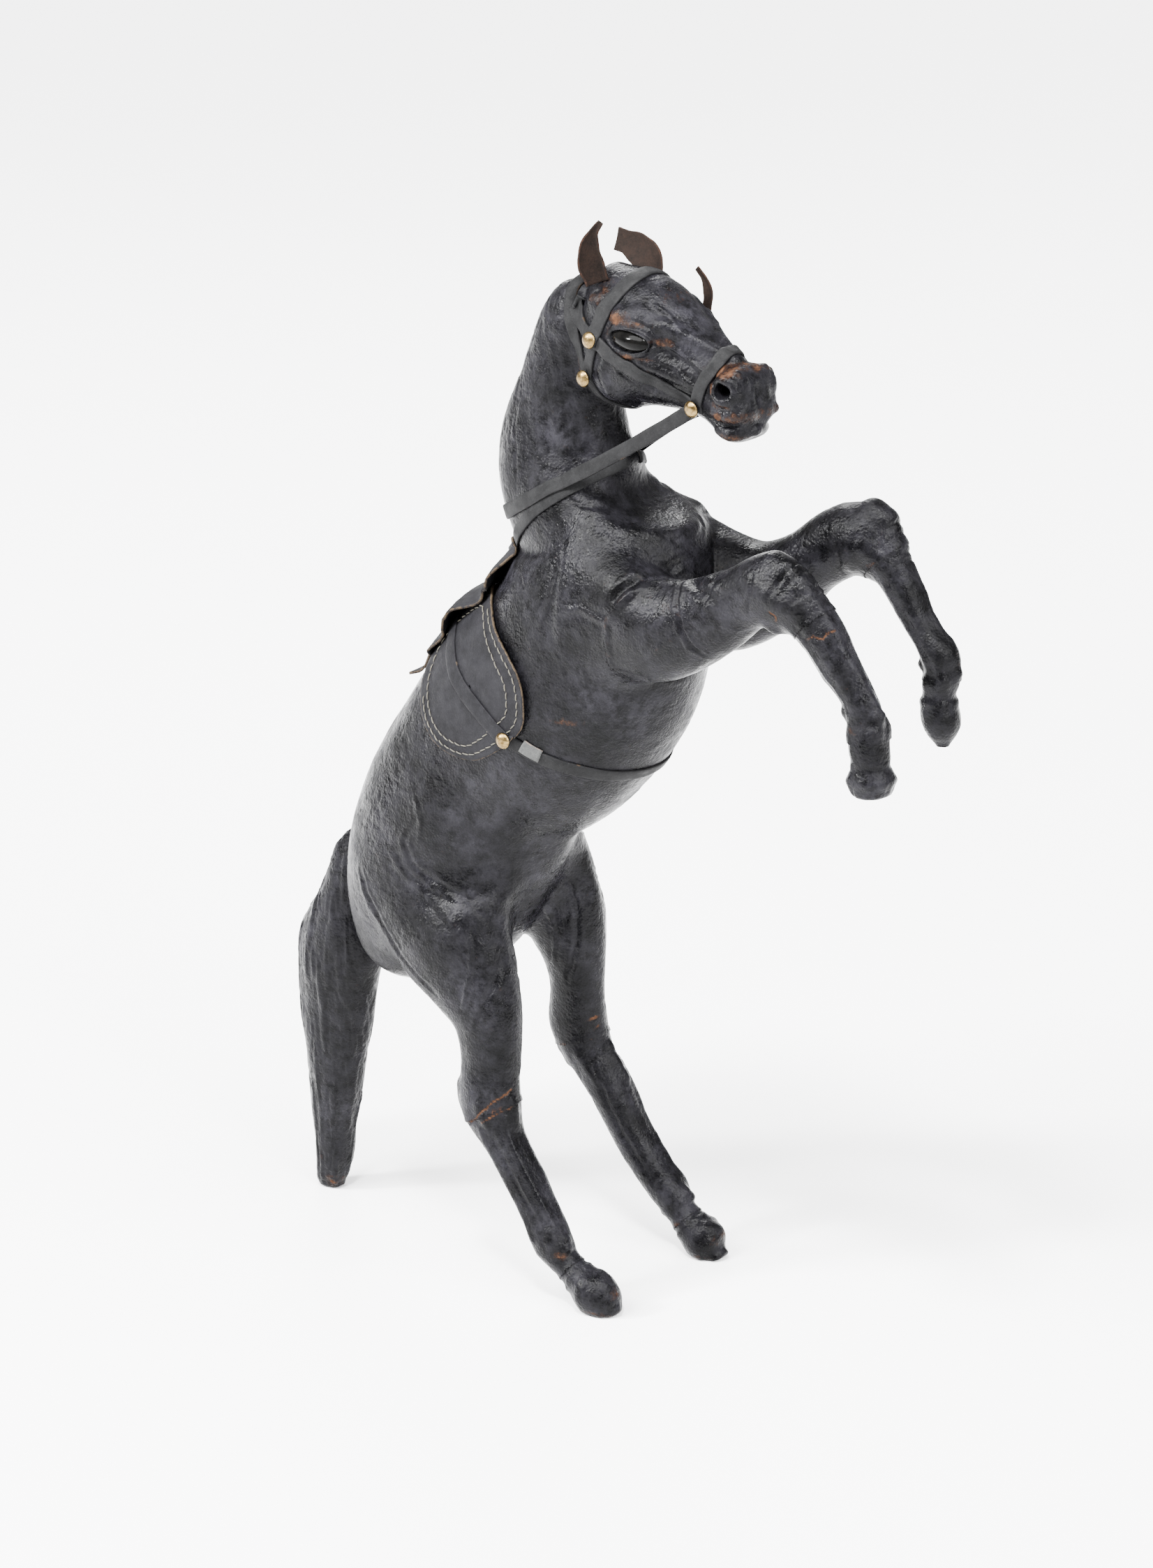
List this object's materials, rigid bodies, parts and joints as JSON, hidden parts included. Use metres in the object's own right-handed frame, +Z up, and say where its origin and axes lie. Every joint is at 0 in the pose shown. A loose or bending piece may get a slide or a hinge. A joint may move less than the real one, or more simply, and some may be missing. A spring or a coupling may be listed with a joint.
{
  "type": "leather-covered rearing horse figure",
  "caption": "Free-standing rearing horse figure: wired paper core under dark leather panels, with bridle, reins and stitched saddle.",
  "frame": {"origin": "on the ground, below the middle of the figure's bounding box", "axes": "+X the way the horse faces, +Y to the horse's left, +Z up; the hind hooves and the tail tip stand on Z = 0"},
  "size_m": [0.4238, 0.1197, 0.5975],
  "materials": {
    "body_leather": "dark, waxed, scuffed brown on the edges",
    "ear_leather": "raw dark brown suede side",
    "saddle_leather": "smooth dark grey",
    "strap_leather": "matt dark grey",
    "suede": "pale grey suede",
    "sewing_thread": "khaki waxed thread",
    "brass_studs": "aged, satin",
    "glass_eyes": "dark, glossy",
    "paper_core": "moulded paper, unpainted",
    "armature_wire": "bare"
  },
  "bodies": {
    "root": {"breast_strap": "strap_leather", "bridle_studs": "brass_studs", "browband": "strap_leather", "crown_strap": "strap_leather", "girth": "strap_leather", "girth_keeper": "suede", "girth_studs": "brass_studs", "head_core": "paper_core", "head_leather": "body_leather", "left_billet": "saddle_leather", "left_cannon_leather": "body_leather", "left_cheek_strap": "strap_leather", "left_ear": "ear_leather", "left_eye": "glass_eyes", "left_eyelid_strip": "ear_leather", "left_flap_thread": "sewing_thread", "left_fore_core": "paper_core", "left_fore_hoof_boot": "body_leather", "left_fore_wire": "armature_wire", "left_forearm_leather": "body_leather", "left_hind_core": "paper_core", "left_hind_hoof_boot": "body_leather", "left_hind_wire": "armature_wire", "left_jaw_strap": "strap_leather", "left_saddle_flap": "saddle_leather", "left_shank_leather": "body_leather", "left_thigh_leather": "body_leather", "neck_core": "paper_core", "neck_leather": "body_leather", "noseband": "strap_leather", "reins": "strap_leather", "right_billet": "saddle_leather", "right_cannon_leather": "body_leather", "right_cheek_strap": "strap_leather", "right_ear": "ear_leather", "right_eye": "glass_eyes", "right_flap_thread": "sewing_thread", "right_fore_core": "paper_core", "right_fore_hoof_boot": "body_leather", "right_fore_wire": "armature_wire", "right_forearm_leather": "body_leather", "right_hind_core": "paper_core", "right_hind_hoof_boot": "body_leather", "right_hind_wire": "armature_wire", "right_jaw_strap": "strap_leather", "right_saddle_flap": "saddle_leather", "right_shank_leather": "body_leather", "right_thigh_leather": "body_leather", "saddle_seat": "saddle_leather", "spine_wire": "armature_wire", "tail_core": "paper_core", "tail_leather": "body_leather", "tail_wire": "armature_wire", "throat_lash": "strap_leather", "torso_core": "paper_core", "torso_leather": "body_leather"}
  },
  "joints": []
}
